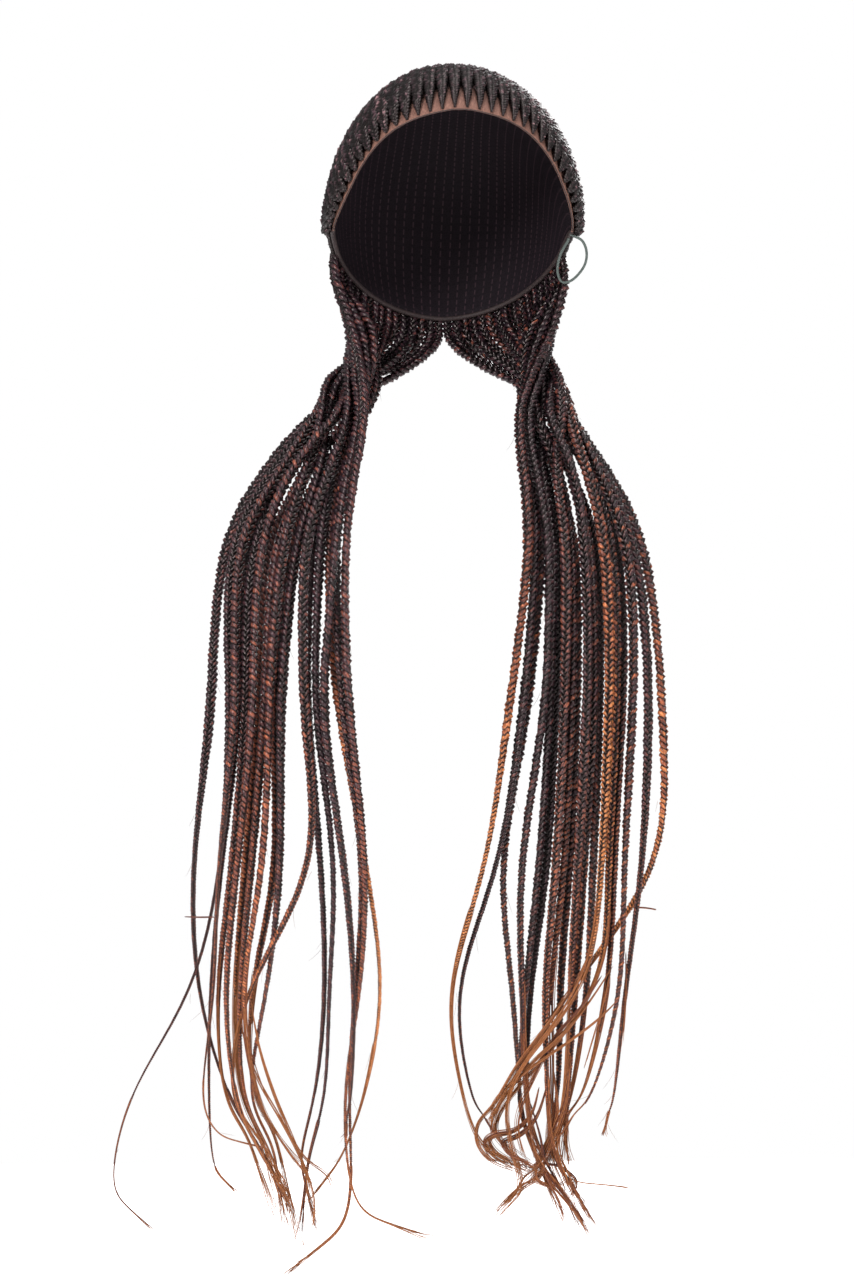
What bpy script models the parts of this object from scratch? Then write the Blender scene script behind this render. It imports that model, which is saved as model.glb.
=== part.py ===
"""A braid wig: a hollow lace cap, straight-back cornrows laid on it, and the long braids that hang from its nape.

Metres, +Z up. The wearer faces -Y. The origin is the inside of the crown, where the cap sits on the head.
Sizes below are in millimetres and are turned into metres when a mesh is made.
"""

import math

import bmesh
import bpy
import numpy as np

MM = 0.001

# The head that the cap is shaped for: an ellipsoid whose top is the origin.
HEAD_HALF_WIDTH = 81.0
HEAD_HALF_LENGTH = 97.5
HEAD_HALF_HEIGHT = 100.0
HEAD_AXES = np.array([HEAD_HALF_WIDTH, HEAD_HALF_LENGTH, HEAD_HALF_HEIGHT])
HEAD_CENTRE = np.array([0.0, 0.0, -HEAD_HALF_HEIGHT])

LACE_WALL = 1.2
ROWS = 36
ROWS_A_SIDE = ROWS // 2
ROW_CLEARANCE = 0.6
ROW_HEIGHT = 5.5
ROW_FILL = 0.9
ROW_CREST_SHARE = 0.55

# The lace edge over the face: degrees from the crown down to the side, and how far forward of the head's middle.
HAIRLINE = {
    "side_angle": (0.0, 18.0, 33.0, 45.0, 58.0, 68.0, 78.0, 88.0, 93.0),
    "forward": (68.0, 67.0, 63.0, 58.0, 52.0, 46.5, 39.0, 21.0, 3.0),
}

# Directions from the head's centre, on a unit sphere: right, back, up. The left side mirrors them.
NAPE_BY_EAR = np.array([0.93, 0.31, -0.19])
NAPE_MIDDLE = np.array([0.0, 0.80, -0.60])
NAPE_ROUNDNESS = 1.6
EDGE_SAMPLES = 241
CROWN_SIDE_ANGLE = 94.0
CROWN_BACK_MIDDLE = 0.545
CROWN_BACK_SIDE = 0.15
CROWN_SHIFT = 14.0

# Where a row is cut into lengths, from the lace edge (0) to the nape (1); the cap is cut at the same places.
ROW_STATIONS = (0.0, 0.035, 0.09, 0.16, 0.25, 0.34, 0.43, 0.52, 0.61, 0.70, 0.79, 0.89, 1.0)
ROW_WIDTH_SHARE = (0.0, 0.10, 0.62, 1.0, 1.0, 1.0, 1.0, 1.0, 1.0, 1.0, 1.0, 0.95, 0.88)
ROW_HEIGHT_SHARE = (0.0, 0.25, 0.68, 1.0, 1.0, 1.0, 1.0, 1.0, 1.0, 1.0, 1.0, 0.95, 0.88)
CAP_COLUMNS = ROWS_A_SIDE

# One row for each hanging braid, from the one by the ear to the one at the middle of the nape.
# All but the last three are how far out it hangs from the middle of the head at these heights.
BRAID_COLUMNS = ("shoulder", "chest", "hem", "low", "thin", "wisp", "bend", "bend_height", "tip", "tip_height")
BRAID_HEIGHTS = (-233.0, -315.0, -437.0, -532.0, -614.0, -682.0)
LEFT_BRAIDS = (
    (64, 79, 76, 66, 71, 79, 75, -753, 18, -781),
    (67, 84, 79, 67, 72, 77, 75, -760, 122, -805),
    (70, 88, 82, 65, 54, 65, 80, -724, 107, -760),
    (65, 82, 94, 80, 72, 77, 78, -696, 79, -712),
    (74, 93, 98, 86, 90, 92, 103, -723, 109, -785),
    (77, 98, 103, 95, 92, 98, 109, -724, 96, -779),
    (69, 103, 106, 101, 146, 156, 137, -713, 113, -757),
    (80, 108, 122, 122, 131, 145, 128, -716, 118, -776),
    (73, 112, 126, 124, 141, 141, 126, -708, 110, -789),
    (83, 117, 130, 134, 147, 139, 122, -714, 97, -745),
    (76, 121, 133, 141, 149, 146, 131, -716, 114, -767),
    (85, 126, 137, 145, 152, 149, 135, -713, 119, -764),
    (79, 131, 141, 151, 159, 153, 139, -713, 115, -760),
    (87, 136, 145, 154, 164, 160, 145, -709, 122, -774),
    (82, 140, 149, 161, 168, 169, 167, -728, 150, -750),
    (86, 144, 152, 164, 166, 175, 165, -708, 133, -719),
    (92, 149, 155, 162, 181, 221, 234, -740, 204, -775),
    (98, 154, 168, 180, 177, 158, 137, -716, 114, -763),
)
RIGHT_BRAIDS = (
    (41, 44, 28, 14, -11, -2, 9, -715, 44, -736),
    (47, 49, 38, 23, -5, 4, 12, -697, 20, -711),
    (54, 54, 42, 25, 33, 38, 42, -709, 53, -730),
    (45, 57, 52, 37, 38, 40, 46, -716, 56, -736),
    (58, 61, 57, 50, 41, 36, 40, -706, 67, -771),
    (55, 65, 61, 56, 45, 42, 48, -716, 83, -779),
    (62, 69, 66, 61, 53, 55, 57, -709, 76, -760),
    (57, 73, 71, 67, 58, 60, 56, -716, 70, -753),
    (66, 77, 76, 71, 65, 64, 58, -719, 90, -773),
    (61, 82, 81, 75, 70, 67, 61, -719, 74, -750),
    (69, 86, 86, 80, 75, 70, 68, -716, 70, -733),
    (65, 91, 91, 87, 83, 73, 59, -723, 38, -750),
    (72, 96, 96, 91, 80, 25, 39, -740, 19, -766),
    (68, 101, 101, 96, 89, 33, 21, -706, 39, -733),
    (75, 107, 106, 101, 97, 82, 70, -698, 68, -730),
    (73, 112, 112, 106, 104, 86, 74, -696, 61, -717),
    (78, 118, 124, 119, 108, 101, 97, -696, 93, -713),
    (81, 125, 134, 131, 71, 29, 18, -706, 46, -736),
)

# How far forward a braid lies, by its height over the line of the shoulder that it passes.
SHOULDER_LINE_AT_NECK = -196.0
SHOULDER_FALL = 0.95
NECK_HALF_WIDTH = 50.0
LIE = {
    "over_shoulder_line": (-400.0, -240.0, -170.0, -110.0, -60.0, -25.0, 0.0, 20.0, 40.0),
    "back": (-93.0, -93.0, -88.0, -76.0, -52.0, -22.0, 4.0, 22.0, 34.0),
}

# Beside the neck the braids of a side pass as a flat bundle, three abreast.
WAIST_ABREAST = 3
WAIST_OUTER = 66.0
WAIST_PITCH = 6.6
WAIST_RANK_PITCH = 7.6
WAIST_FRONT = 10.0
WAIST_HEIGHT = -176.0
WAIST_DROP = 6.0
ROOT_DROP = 16.0
ROOT_START = 0.5

# How many lengths each stretch of a hanging braid is cut into, from its root to its tip.
BRAID_CUTS = (1, 2, 2, 2, 2, 1, 1, 1, 1, 2)
# A hanging braid's radius at its root, and at the far end of each stretch.
BRAID_RADII = (2.3, 2.5, 2.8, 3.1, 3.2, 3.0, 2.4, 1.6, 1.1, 0.8, 0.7)
# How finely a braid is rounded: 1 gives it six sides.
BEVEL_RESOLUTION = 1
BRAID_CLEARANCE = 0.8
BRAID_ROOT_LIFT = 2.9
# The block of hair that joins two neighbouring braids at their roots.
JOIN_MIDDLE = 5.0
JOIN_SPARE = 1.2
JOIN_LENGTH = 7.0
JOIN_THICKNESS = 2.6

# Braids that would pass through each other are moved apart a little at a time: sideways, to the front or back, up.
SETTLING_ROUNDS = 500
SETTLING_EASE = np.array([0.3, 1.0, 0.12])
SETTLING_SHARE = 0.2
SETTLING_MOST = 1.5
SETTLED = 0.02
NEAR = 12.0
NEAR_LENGTHS = 3

# The elastic loop from the cap's right temple corner, round behind the ear: right, back, up.
# Both its ends are sewn to the cap's edge over the ear, this far along it, and leave it straight.
ELASTIC_RADIUS = 0.9
ELASTIC_SEATS = (ROW_STATIONS[1], ROW_STATIONS[7])
ELASTIC_GAP = 0.7
ELASTIC_STRAIGHT = 3.0
ELASTIC = (
    (88.5, -2.5, -111.0),
    (92.0, 2.0, -119.0),
    (90.5, 6.0, -128.0),
    (83.5, 11.0, -136.5),
    (76.5, 15.5, -138.0),
    (73.5, 17.0, -130.0),
    (75.5, 16.0, -119.0),
)


def clear_scene():
    for obj in list(bpy.data.objects):
        bpy.data.objects.remove(obj, do_unlink=True)


def finish(name, colour, roughness):
    material = bpy.data.materials.new(name)
    material.use_nodes = True
    shader = material.node_tree.nodes["Principled BSDF"]
    shader.inputs["Base Color"].default_value = (*colour, 1.0)
    shader.inputs["Roughness"].default_value = roughness
    shader.inputs["Metallic"].default_value = 0.0
    return material


def unit(vector):
    return vector / np.linalg.norm(vector)


def smooth_read(places, values, where):
    """The value at a place, read from two columns of a table on a curve with no corners."""
    slopes = np.gradient(values, places)
    where = min(max(where, places[0]), places[-1])
    i = min(int(np.searchsorted(places, where, side="right")) - 1, len(places) - 2)
    span = places[i + 1] - places[i]
    t = (where - places[i]) / span
    return (
        (2 * t**3 - 3 * t**2 + 1) * values[i]
        + (t**3 - 2 * t**2 + t) * span * slopes[i]
        + (3 * t**2 - 2 * t**3) * values[i + 1]
        + (t**3 - t**2) * span * slopes[i + 1]
    )


def hairline_direction(side_angle):
    """The direction of the lace edge at this many degrees from the crown, to the right where it is positive."""
    forward = smooth_read(HAIRLINE["side_angle"], HAIRLINE["forward"], abs(side_angle)) / HEAD_HALF_LENGTH
    ring = math.sqrt(1.0 - forward**2)
    angle = math.radians(side_angle)
    return np.array([ring * math.sin(angle), -forward, ring * math.cos(angle)])


def nape_direction(side):
    """The nape edge, from behind the left ear (-1) round the middle to behind the right (1)."""
    by_ear = NAPE_BY_EAR * np.array([math.copysign(1.0, side), 1.0, 1.0])
    share = abs(side)
    return unit(NAPE_MIDDLE * (1.0 - share**NAPE_ROUNDNESS) + by_ear * share)


def evenly(direction, first, last):
    """A function that gives an edge's direction at an even share of its length, from left to right."""
    values = np.linspace(first, last, EDGE_SAMPLES)
    points = np.array([direction(value) * HEAD_AXES for value in values])
    steps = np.linalg.norm(np.diff(points, axis=0), axis=1)
    shares = np.concatenate([[0.0], np.cumsum(steps)]) / steps.sum()
    return lambda across: direction(float(np.interp(across, shares, values)))


HAIRLINE_AT = evenly(hairline_direction, -HAIRLINE["side_angle"][-1], HAIRLINE["side_angle"][-1])
NAPE_AT = evenly(nape_direction, -1.0, 1.0)


def crown_direction(across):
    """Half way along a row: an arc over the crown from ear to ear, that leans back at its top."""
    lean = math.sin(math.pi * across)
    angle = -CROWN_SIDE_ANGLE + 2 * CROWN_SIDE_ANGLE * across
    angle = math.radians(angle + CROWN_SHIFT * lean * (1.0 - across) ** 1.5)
    back = CROWN_BACK_SIDE + (CROWN_BACK_MIDDLE - CROWN_BACK_SIDE) * lean**0.8
    ring = math.sqrt(1.0 - back**2)
    return np.array([ring * math.sin(angle), back, ring * math.cos(angle)])


def scalp(across, along, lift=0.0):
    """A point over the head: across the rows, along them from the lace edge to the nape, and lifted off it."""
    start = HAIRLINE_AT(across)
    middle = crown_direction(across)
    end = NAPE_AT(across)
    blend = (
        (1.0 - along) * (1.0 - 2.0 * along) * start
        + 4.0 * along * (1.0 - along) * middle
        + along * (2.0 * along - 1.0) * end
    )
    direction = unit(blend)
    return HEAD_CENTRE + direction * HEAD_AXES + unit(direction / HEAD_AXES) * lift


def put_in(collection, name, mesh, material):
    obj = bpy.data.objects.new(name, mesh)
    collection.objects.link(obj)
    if not mesh.materials:
        mesh.materials.append(material)
    return obj


def make_cap(collection, material):
    """The lace cap: an open sheet on the head, given its wall outwards."""
    form = bmesh.new()
    bmesh.ops.create_grid(form, x_segments=CAP_COLUMNS, y_segments=len(ROW_STATIONS) - 1, size=0.5)
    for vertex in form.verts:
        across = vertex.co.x + 0.5
        along = ROW_STATIONS[round((vertex.co.y + 0.5) * (len(ROW_STATIONS) - 1))]
        vertex.co = scalp(across, along) * MM
    bmesh.ops.recalc_face_normals(form, faces=form.faces)
    mesh = bpy.data.meshes.new("lace_cap")
    form.to_mesh(mesh)
    form.free()
    mesh.shade_smooth()
    cap = put_in(collection, "lace_cap", mesh, material)
    upper = max(mesh.polygons, key=lambda face: face.center.z)
    wall = cap.modifiers.new("lace wall", "SOLIDIFY")
    wall.thickness = LACE_WALL * MM
    wall.offset = 1.0 if upper.normal.z > 0 else -1.0
    return cap


def loft(name, rings):
    """A closed body through rings of the same number of points, in order."""
    form = bmesh.new()
    loops = [[form.verts.new(point * MM) for point in ring] for ring in rings]
    for near, far in zip(loops, loops[1:]):
        for i in range(len(near)):
            j = (i + 1) % len(near)
            form.faces.new((near[i], near[j], far[j], far[i]))
    form.faces.new(loops[0][::-1])
    form.faces.new(loops[-1])
    bmesh.ops.recalc_face_normals(form, faces=form.faces)
    mesh = bpy.data.meshes.new(name)
    form.to_mesh(mesh)
    form.free()
    return mesh


def row_middle(row):
    return (row + 0.5) / ROWS


def make_cornrow(collection, material, row):
    """A ridge that starts in a point behind the lace edge and runs over the head to the nape."""
    base = LACE_WALL + ROW_CLEARANCE
    half = ROW_FILL * 0.5 / ROWS
    crest = half * ROW_CREST_SHARE
    rings = []
    shares = list(zip(ROW_STATIONS, ROW_WIDTH_SHARE, ROW_HEIGHT_SHARE))[1:]
    for along, width, height in shares:
        top = base + ROW_HEIGHT * height
        middle = row_middle(row)
        rings.append(
            (
                scalp(middle - half * width, along, base),
                scalp(middle - crest * width, along, top),
                scalp(middle + crest * width, along, top),
                scalp(middle + half * width, along, base),
            )
        )
    name = f"cornrow_{row + 1:02d}"
    return put_in(collection, name, loft(name, rings), material)


def lie_back(out, height):
    """How far back a braid lies at this distance out from the middle and this height."""
    line = SHOULDER_LINE_AT_NECK - SHOULDER_FALL * (abs(out) - NECK_HALF_WIDTH)
    return smooth_read(LIE["over_shoulder_line"], LIE["back"], height - line)


def braid_keys(side, number, sizes):
    """The places that a hanging braid passes: its root at the nape, the neck, and those of its table row."""
    place = dict(zip(BRAID_COLUMNS, sizes))
    row = number if side < 0 else ROWS - 1 - number
    lift = LACE_WALL + BRAID_ROOT_LIFT
    root = scalp(row_middle(row), 1.0, lift)
    edge = scalp(row_middle(row + 0.3), 1.0, lift) - scalp(row_middle(row - 0.3), 1.0, lift)
    onward = unit(np.cross(edge, scalp(row_middle(row), 1.0, lift + 1.0) - root))
    if np.dot(onward, root - scalp(row_middle(row), ROW_STATIONS[-2], lift)) < 0.0:
        onward = -onward
    rank, abreast = divmod(number, WAIST_ABREAST)
    waist = (
        side * (WAIST_OUTER - WAIST_PITCH * abreast),
        WAIST_FRONT + rank * WAIST_RANK_PITCH,
        WAIST_HEIGHT - rank * WAIST_DROP,
    )
    keys = [root + onward * ROOT_START, root + onward * ROOT_DROP, np.array(waist)]
    layer = (abreast - 1) * WAIST_PITCH
    hung = list(zip(BRAID_COLUMNS[:6], BRAID_HEIGHTS))
    for column, height in hung:
        keys.append(np.array([side * place[column], lie_back(place[column], height) + layer, height]))
    for column in ("bend", "tip"):
        height = place[column + "_height"]
        keys.append(np.array([side * place[column], lie_back(place[column], height) + layer, height]))
    return keys


def through(keys, cuts):
    """Points on a smooth curve through the keys, with each stretch cut into its number of lengths."""
    ends = [2 * keys[0] - keys[1], *keys, 2 * keys[-1] - keys[-2]]
    points = [keys[0]]
    for i, count in enumerate(cuts):
        a, b, c, d = ends[i : i + 4]
        for step in range(1, count + 1):
            t = step / count
            points.append(
                0.5 * (2 * b + (c - a) * t + (2 * a - 5 * b + 4 * c - d) * t**2 + (3 * b - a - 3 * c + d) * t**3)
            )
    return np.array(points)


def radii_along(cuts):
    radii = [BRAID_RADII[0]]
    for i, count in enumerate(cuts):
        for step in range(1, count + 1):
            radii.append(BRAID_RADII[i] + (BRAID_RADII[i + 1] - BRAID_RADII[i]) * step / count)
    return np.array(radii)


def near_stretches(routes):
    """Pairs of lengths of two different braids that lie near each other: braid, length, other braid, other length."""
    count, points, _ = routes.shape
    braid, length = (index.ravel() for index in np.indices((count, points - 1)))
    ends = np.diff(routes, axis=1).reshape(-1, 3)
    middles = ((routes[:, 1:] + routes[:, :-1]) / 2).reshape(-1, 3)
    reach = np.linalg.norm(ends, axis=1) / 2 + NEAR / 2
    apart = np.linalg.norm(middles[:, None] - middles[None], axis=-1)
    near = (apart < reach[:, None] + reach[None]) & (braid[:, None] < braid[None])
    near &= np.abs(length[:, None] - length[None]) <= NEAR_LENGTHS
    first, second = np.nonzero(near)
    return braid[first], length[first], braid[second], length[second]


def settle(routes, radii):
    """Moves braids that would pass through each other apart, mostly to the front and back, as they lie in layers."""
    hold = np.ones(routes.shape[1])
    hold[:2] = 0.0
    hold[2] = 0.5
    for turn in range(SETTLING_ROUNDS):
        if turn % 10 == 0:
            i, m, j, n = near_stretches(routes)
        push = np.zeros_like(routes)
        p1, p2 = routes[i, m], routes[j, n]
        d1, d2 = routes[i, m + 1] - p1, routes[j, n + 1] - p2
        gap = p1 - p2
        a, e = (d1 * d1).sum(-1), (d2 * d2).sum(-1)
        b, c, f = (d1 * d2).sum(-1), (d1 * gap).sum(-1), (d2 * gap).sum(-1)
        crossing = np.clip((b * f - c * e) / np.maximum(a * e - b * b, 1e-6), 0.0, 1.0)
        for at in (crossing, *(np.full_like(crossing, share) for share in (0.0, 0.25, 0.5, 0.75, 1.0))):
            t = np.clip((b * at + f) / e, 0.0, 1.0)
            apart = gap + at[:, None] * d1 - t[:, None] * d2
            r1 = radii[m] + (radii[m + 1] - radii[m]) * at
            r2 = radii[n] + (radii[n + 1] - radii[n]) * t
            short = np.clip(r1 + r2 + BRAID_CLEARANCE - np.linalg.norm(apart, axis=-1), 0.0, None)
            way = apart * SETTLING_EASE
            move = way * (SETTLING_SHARE * short / np.maximum(np.linalg.norm(way, axis=-1), 1e-3))[:, None]
            np.add.at(push, (i, m), move * (1.0 - at)[:, None])
            np.add.at(push, (i, m + 1), move * at[:, None])
            np.add.at(push, (j, n), -move * (1.0 - t)[:, None])
            np.add.at(push, (j, n + 1), -move * t[:, None])
        push *= hold[None, :, None]
        size = np.linalg.norm(push, axis=-1, keepdims=True)
        routes = routes + push / np.maximum(size, 1e-9) * np.minimum(size, SETTLING_MOST)
        if size.max() < SETTLED:
            break
    return routes


def make_tube(collection, name, points, radii, material):
    """A curve with a bevel through the points, made a mesh with its caps welded."""
    curve = bpy.data.curves.new(name, "CURVE")
    curve.dimensions = "3D"
    curve.bevel_depth = MM
    curve.bevel_resolution = BEVEL_RESOLUTION
    curve.use_fill_caps = True
    spline = curve.splines.new("POLY")
    spline.points.add(len(points) - 1)
    for spot, point, radius in zip(spline.points, points, radii):
        spot.co = (*(point * MM), 1.0)
        spot.radius = radius
    drawn = bpy.data.objects.new(name, curve)
    collection.objects.link(drawn)
    graph = bpy.context.evaluated_depsgraph_get()
    mesh = bpy.data.meshes.new_from_object(drawn.evaluated_get(graph))
    bpy.data.objects.remove(drawn, do_unlink=True)
    bpy.data.curves.remove(curve)
    form = bmesh.new()
    form.from_mesh(mesh)
    bmesh.ops.remove_doubles(form, verts=form.verts, dist=1e-6)
    bmesh.ops.recalc_face_normals(form, faces=form.faces)
    form.to_mesh(mesh)
    form.free()
    mesh.materials.clear()
    return put_in(collection, name, mesh, material)


def make_root(cutters, name, first, second):
    """The small block of hair in which two neighbouring braids leave the nape together."""
    onward = unit(first[1] - first[0])
    aside = unit(second[0] - first[0])
    out = unit(np.cross(onward, aside))
    middle = (first[0] + second[0]) / 2 + onward * JOIN_MIDDLE
    sizes = (np.linalg.norm(second[0] - first[0]) + JOIN_SPARE, JOIN_LENGTH, JOIN_THICKNESS)
    form = bmesh.new()
    bmesh.ops.create_cube(form, size=1.0)
    for vertex in form.verts:
        x, y, z = vertex.co
        vertex.co = (middle + aside * x * sizes[0] + onward * y * sizes[1] + out * z * sizes[2]) * MM
    bmesh.ops.recalc_face_normals(form, faces=form.faces)
    mesh = bpy.data.meshes.new(name)
    form.to_mesh(mesh)
    form.free()
    obj = bpy.data.objects.new(name, mesh)
    cutters.objects.link(obj)
    return obj


def make_falls(collection, cutters, material):
    """The two falls: neighbouring braids are joined two by two at their roots."""
    sides = [(-1, LEFT_BRAIDS), (1, RIGHT_BRAIDS)]
    routes = np.array(
        [
            through(braid_keys(side, number, sizes), BRAID_CUTS)
            for side, table in sides
            for number, sizes in enumerate(table)
        ]
    )
    radii = radii_along(BRAID_CUTS)
    routes = settle(routes, radii)
    for index in range(0, ROWS, 2):
        label = "left" if index < ROWS_A_SIDE else "right"
        pair = (index % ROWS_A_SIDE) // 2 + 1
        name = f"{label}_braids_{pair:02d}"
        first = make_tube(collection, name, routes[index], radii, material)
        second = make_tube(cutters, name + "_second", routes[index + 1], radii, material)
        root = make_root(cutters, name + "_root", routes[index], routes[index + 1])
        for added in (root, second):
            join = first.modifiers.new("join " + added.name, "BOOLEAN")
            join.operation = "UNION"
            join.solver = "EXACT"
            join.object = added


def elastic_end(along):
    """The two points at an end of the elastic: at the cap's edge over the right ear, and a little below it."""
    seat = scalp(1.0, along, LACE_WALL / 2)
    below = unit(seat - scalp(1.0 - 0.5 / ROWS, along, LACE_WALL / 2))
    return [seat + below * ELASTIC_GAP, seat + below * ELASTIC_STRAIGHT]


def make_elastic(collection, material):
    start, end = (elastic_end(along) for along in ELASTIC_SEATS)
    keys = [*start, *(np.array(point) for point in ELASTIC), *end[::-1]]
    points = through(keys, (1,) + (2,) * (len(keys) - 3) + (1,))
    return make_tube(collection, "elastic_loop", points, [ELASTIC_RADIUS] * len(points), material)


def main():
    clear_scene()
    wig = bpy.data.collections.new("braid_wig")
    cutters = bpy.data.collections.new("joined_pieces")
    for collection in (wig, cutters):
        bpy.context.scene.collection.children.link(collection)
    lace = finish("lace", (0.38, 0.22, 0.17), 0.85)
    dark_hair = finish("cornrow_hair", (0.055, 0.035, 0.038), 0.6)
    ombre_hair = finish("hanging_hair", (0.13, 0.05, 0.03), 0.6)
    elastic = finish("elastic", (0.24, 0.27, 0.25), 0.7)
    make_cap(wig, lace)
    for row in range(ROWS):
        make_cornrow(wig, dark_hair, row)
    make_falls(wig, cutters, ombre_hair)
    make_elastic(wig, elastic)
    for piece in cutters.objects:
        piece.hide_render = True
        piece.display_type = "WIRE"
    cutters.hide_render = True


main()
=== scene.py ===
import math

import bmesh
import bpy
import numpy as np
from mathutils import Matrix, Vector


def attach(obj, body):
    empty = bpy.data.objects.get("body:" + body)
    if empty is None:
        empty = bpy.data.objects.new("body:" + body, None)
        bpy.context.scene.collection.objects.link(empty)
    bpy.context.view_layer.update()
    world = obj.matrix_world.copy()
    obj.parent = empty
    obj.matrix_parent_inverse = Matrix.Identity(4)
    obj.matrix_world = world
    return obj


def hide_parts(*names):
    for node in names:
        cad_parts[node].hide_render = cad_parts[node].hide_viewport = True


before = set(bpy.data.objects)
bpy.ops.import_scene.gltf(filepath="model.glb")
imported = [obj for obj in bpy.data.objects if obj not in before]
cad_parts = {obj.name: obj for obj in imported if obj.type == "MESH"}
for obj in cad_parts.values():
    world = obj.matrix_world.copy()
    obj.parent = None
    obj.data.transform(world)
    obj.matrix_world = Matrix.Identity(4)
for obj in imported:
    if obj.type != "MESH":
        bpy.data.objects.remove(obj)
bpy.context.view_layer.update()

# Camera, floor and light
# The wig hangs over a plain pale floor in a white room, under large soft lights. The camera is level with
# the middle of the falls and stands a little to the wearer's right.

CAMERA_TURN = math.radians(4.5)
CAMERA_DISTANCE = 4.0
CAMERA_ASIDE = -0.0173
CAMERA_HEIGHT = -0.3828
CAMERA_LENS = 165.4
camera_right = Vector((math.cos(CAMERA_TURN), -math.sin(CAMERA_TURN), 0.0))
camera_ahead = Vector((math.sin(CAMERA_TURN), math.cos(CAMERA_TURN), 0.0))
camera_aim = camera_right * CAMERA_ASIDE + Vector((0.0, 0.0, CAMERA_HEIGHT))
camera_data = bpy.data.cameras.new("camera")
camera_data.lens = CAMERA_LENS
camera = bpy.data.objects.new("camera", camera_data)
camera.location = camera_aim - camera_ahead * CAMERA_DISTANCE
camera.rotation_euler = camera_ahead.to_track_quat("-Z", "Y").to_euler()
bpy.context.scene.collection.objects.link(camera)
bpy.context.scene.camera = camera
bpy.context.scene.view_settings.view_transform = "Standard"

FLOOR_LEVEL = -0.88
FLOOR_SIZE = 1.6
form = bmesh.new()
bmesh.ops.create_grid(form, x_segments=1, y_segments=1, size=FLOOR_SIZE)
for vertex in form.verts:
    vertex.co.z = FLOOR_LEVEL
floor_mesh = bpy.data.meshes.new("floor")
form.to_mesh(floor_mesh)
form.free()
floor = bpy.data.objects.new("floor", floor_mesh)
bpy.context.scene.collection.objects.link(floor)
paper = bpy.data.materials.new("pale paper")
paper.use_nodes = True
paper_shader = paper.node_tree.nodes["Principled BSDF"]
paper_shader.inputs["Base Color"].default_value = (0.93, 0.93, 0.93, 1.0)
paper_shader.inputs["Roughness"].default_value = 0.9
paper_shader.inputs["Emission Color"].default_value = (1.0, 1.0, 1.0, 1.0)
paper_shader.inputs["Emission Strength"].default_value = 0.8
floor_mesh.materials.append(paper)

# The room is seen as plain white, and lights the wig less than it shows.
ROOM_SEEN = 1.0
ROOM_LIGHT = 0.4
room = bpy.data.worlds.new("room")
room.use_nodes = True
room_tree = room.node_tree
room_tree.nodes["Background"].inputs["Color"].default_value = (1.0, 1.0, 1.0, 1.0)
room_rays = room_tree.nodes.new("ShaderNodeLightPath")
room_strength = room_tree.nodes.new("ShaderNodeMapRange")
room_strength.inputs["To Min"].default_value = ROOM_LIGHT
room_strength.inputs["To Max"].default_value = ROOM_SEEN
room_tree.links.new(room_rays.outputs["Is Camera Ray"], room_strength.inputs["Value"])
room_tree.links.new(room_strength.outputs["Result"], room_tree.nodes["Background"].inputs["Strength"])
bpy.context.scene.world = room

LIGHT_AIM = Vector((0.0, 0.0, -0.35))
# name, place, width, watts
SOFT_LIGHTS = (
    ("key light", (-1.4, -2.4, 1.2), 0.9, 88.0),
    ("fill light", (1.9, -2.2, 0.1), 1.2, 24.0),
    ("top light", (0.3, -0.4, 1.8), 0.9, 26.0),
    ("back light", (0.9, 2.6, 0.7), 1.4, 45.0),
)
for light_name, place, width, watts in SOFT_LIGHTS:
    lamp = bpy.data.lights.new(light_name, "AREA")
    lamp.size = width
    lamp.energy = watts
    light = bpy.data.objects.new(light_name, lamp)
    light.location = place
    light.rotation_euler = (LIGHT_AIM - Vector(place)).to_track_quat("-Z", "Y").to_euler()
    bpy.context.scene.collection.objects.link(light)

# Lace cap
# A close-fitting cap of brown lace net with a dark stretch lining, open at the front, at the sides and at
# the nape. The net is stretched to a rounded form, and its front edge is cut bare and held by one thread.

MM = 0.001
HEAD_AXES = np.array([81.0, 97.5, 100.0])
HEAD_CENTRE = np.array([0.0, 0.0, -100.0])
LACE_WALL = 1.2
ROWS = 36
HAIRLINE = {
    "side_angle": (0.0, 18.0, 33.0, 45.0, 58.0, 68.0, 78.0, 88.0, 93.0),
    "forward": (68.0, 67.0, 63.0, 58.0, 52.0, 46.5, 39.0, 21.0, 3.0),
}
NAPE_BY_EAR = np.array([0.93, 0.31, -0.19])
NAPE_MIDDLE = np.array([0.0, 0.80, -0.60])
NAPE_ROUNDNESS = 1.6
CROWN_SIDE_ANGLE = 94.0
CROWN_BACK_MIDDLE = 0.545
CROWN_BACK_SIDE = 0.15
CROWN_SHIFT = 14.0
EDGE_SAMPLES = 241


def unit(vectors):
    return vectors / np.linalg.norm(vectors, axis=-1, keepdims=True)


def smooth_read(places, values, where):
    """The value at each place, read from two columns of a table on a curve with no corners."""
    places, values = np.array(places), np.array(values)
    slopes = np.gradient(values, places)
    where = np.clip(where, places[0], places[-1])
    i = np.clip(np.searchsorted(places, where, side="right") - 1, 0, len(places) - 2)
    span = places[i + 1] - places[i]
    t = (where - places[i]) / span
    return (
        (2 * t**3 - 3 * t**2 + 1) * values[i]
        + (t**3 - 2 * t**2 + t) * span * slopes[i]
        + (3 * t**2 - 2 * t**3) * values[i + 1]
        + (t**3 - t**2) * span * slopes[i + 1]
    )


def hairline_direction(side_angle):
    forward = smooth_read(HAIRLINE["side_angle"], HAIRLINE["forward"], np.abs(side_angle)) / HEAD_AXES[1]
    ring = np.sqrt(1.0 - forward**2)
    angle = np.radians(side_angle)
    return np.stack([ring * np.sin(angle), -forward, ring * np.cos(angle)], axis=-1)


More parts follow.
